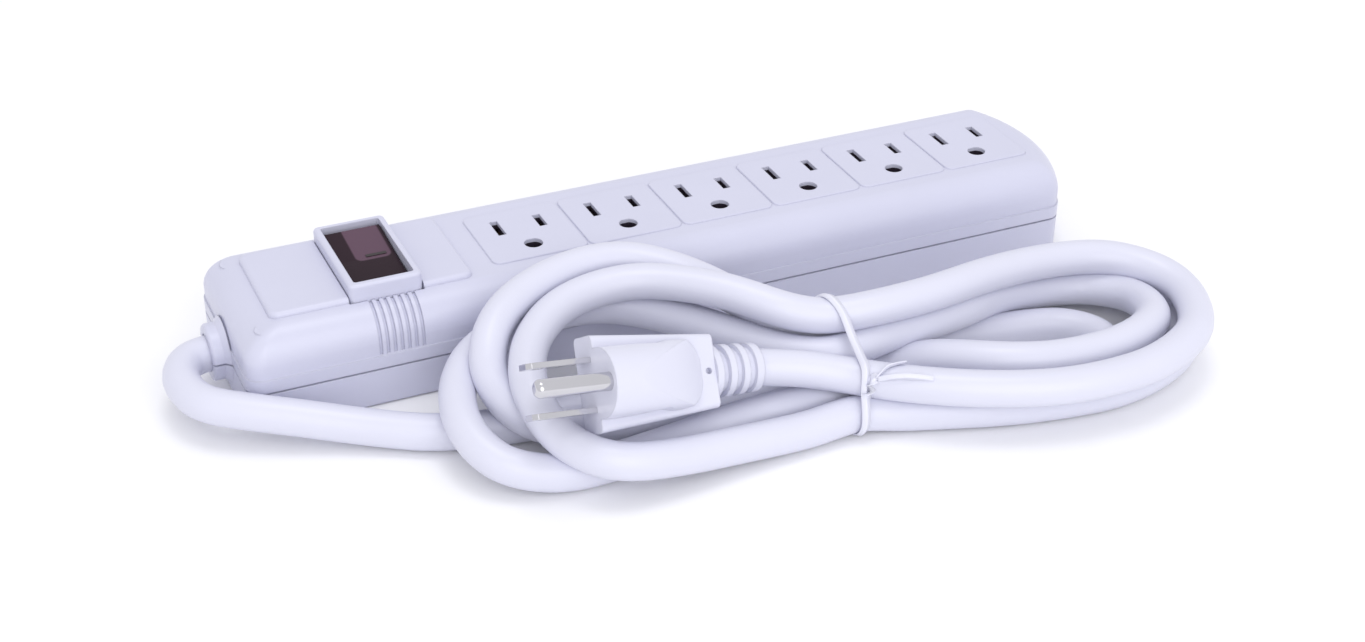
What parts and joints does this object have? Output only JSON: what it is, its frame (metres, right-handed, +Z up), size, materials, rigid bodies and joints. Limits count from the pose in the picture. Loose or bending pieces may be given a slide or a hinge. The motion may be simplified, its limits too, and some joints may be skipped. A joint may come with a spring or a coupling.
{
  "type": "power strip",
  "caption": "Long white outlet strip with raised square outlet faces, a framed rocker switch at the cord end, and a heavy cord folded into a tied hank with a grounded plug.",
  "frame": {"origin": "centre of the case's bounding box in plan, on the surface it stands on", "axes": "+X along the strip, away from the cord; +Y to the long side away from the hank; +Z up"},
  "size_m": [0.2851, 0.1487, 0.0395],
  "materials": {
    "case_plastic": "fine moulded satin",
    "bezel_plastic": "smooth satin",
    "inner_plastic": "plain moulded",
    "screw_steel": "zinc plated",
    "contact_brass": "stamped",
    "lamp_glass": "clear",
    "resistor_body": "painted",
    "black_insulation": "smooth vinyl",
    "white_insulation": "smooth vinyl",
    "green_insulation": "smooth vinyl",
    "cord_jacket": "satin vinyl",
    "tie_ribbon": "thin plastic ribbon",
    "plug_vinyl": "satin moulded vinyl",
    "blade_nickel": "bright nickel plate",
    "rocker_plastic": "glossy dark red-brown",
    "mark_plastic": "printed mark"
  },
  "bodies": {
    "case": {"upper_shell": "case_plastic", "lower_shell": "case_plastic", "case_screws": "screw_steel", "cord_clamp": "inner_plastic", "clamp_screws": "screw_steel", "switch_bezel": "bezel_plastic", "switch_base": "inner_plastic", "line_terminal": "contact_brass", "load_terminal": "contact_brass", "neutral_terminal": "contact_brass", "neon_lamp": "lamp_glass", "lamp_resistor": "resistor_body", "hot_bus": "contact_brass", "neutral_bus": "contact_brass", "ground_bus": "contact_brass", "hot_lead": "black_insulation", "switched_lead": "black_insulation", "neutral_lead": "white_insulation", "ground_lead": "green_insulation", "neutral_tap": "white_insulation", "inner_cord": "cord_jacket", "cord_lead": "cord_jacket", "cord_hank": "cord_jacket", "twist_tie": "tie_ribbon", "plug_body": "plug_vinyl", "plug_relief": "plug_vinyl", "hot_blade": "blade_nickel", "neutral_blade": "blade_nickel", "ground_pin": "blade_nickel"},
    "rocker": {"rocker": "rocker_plastic", "rocker_mark": "mark_plastic", "rocker_plunger": "inner_plastic", "plunger_spring": "screw_steel"},
    "contact_arm": {"contact_arm": "contact_brass"}
  },
  "joints": [
    {"name": "rocker_pivot", "type": "hinge", "parent": "case", "child": "rocker", "pos_m": [-0.0854, 0, 0.022], "axis": [-1, 0, 0], "range_deg": [0, 9]},
    {"name": "contact_arm_pivot", "type": "hinge", "parent": "case", "child": "contact_arm", "pos_m": [-0.0854, 0, 0.0139], "axis": [1, 0, 0], "range_deg": [0, 16]}
  ],
  "couplings": [
    {"joint": "contact_arm_pivot", "follows": "rocker_pivot", "ratio": 1.7777}
  ]
}
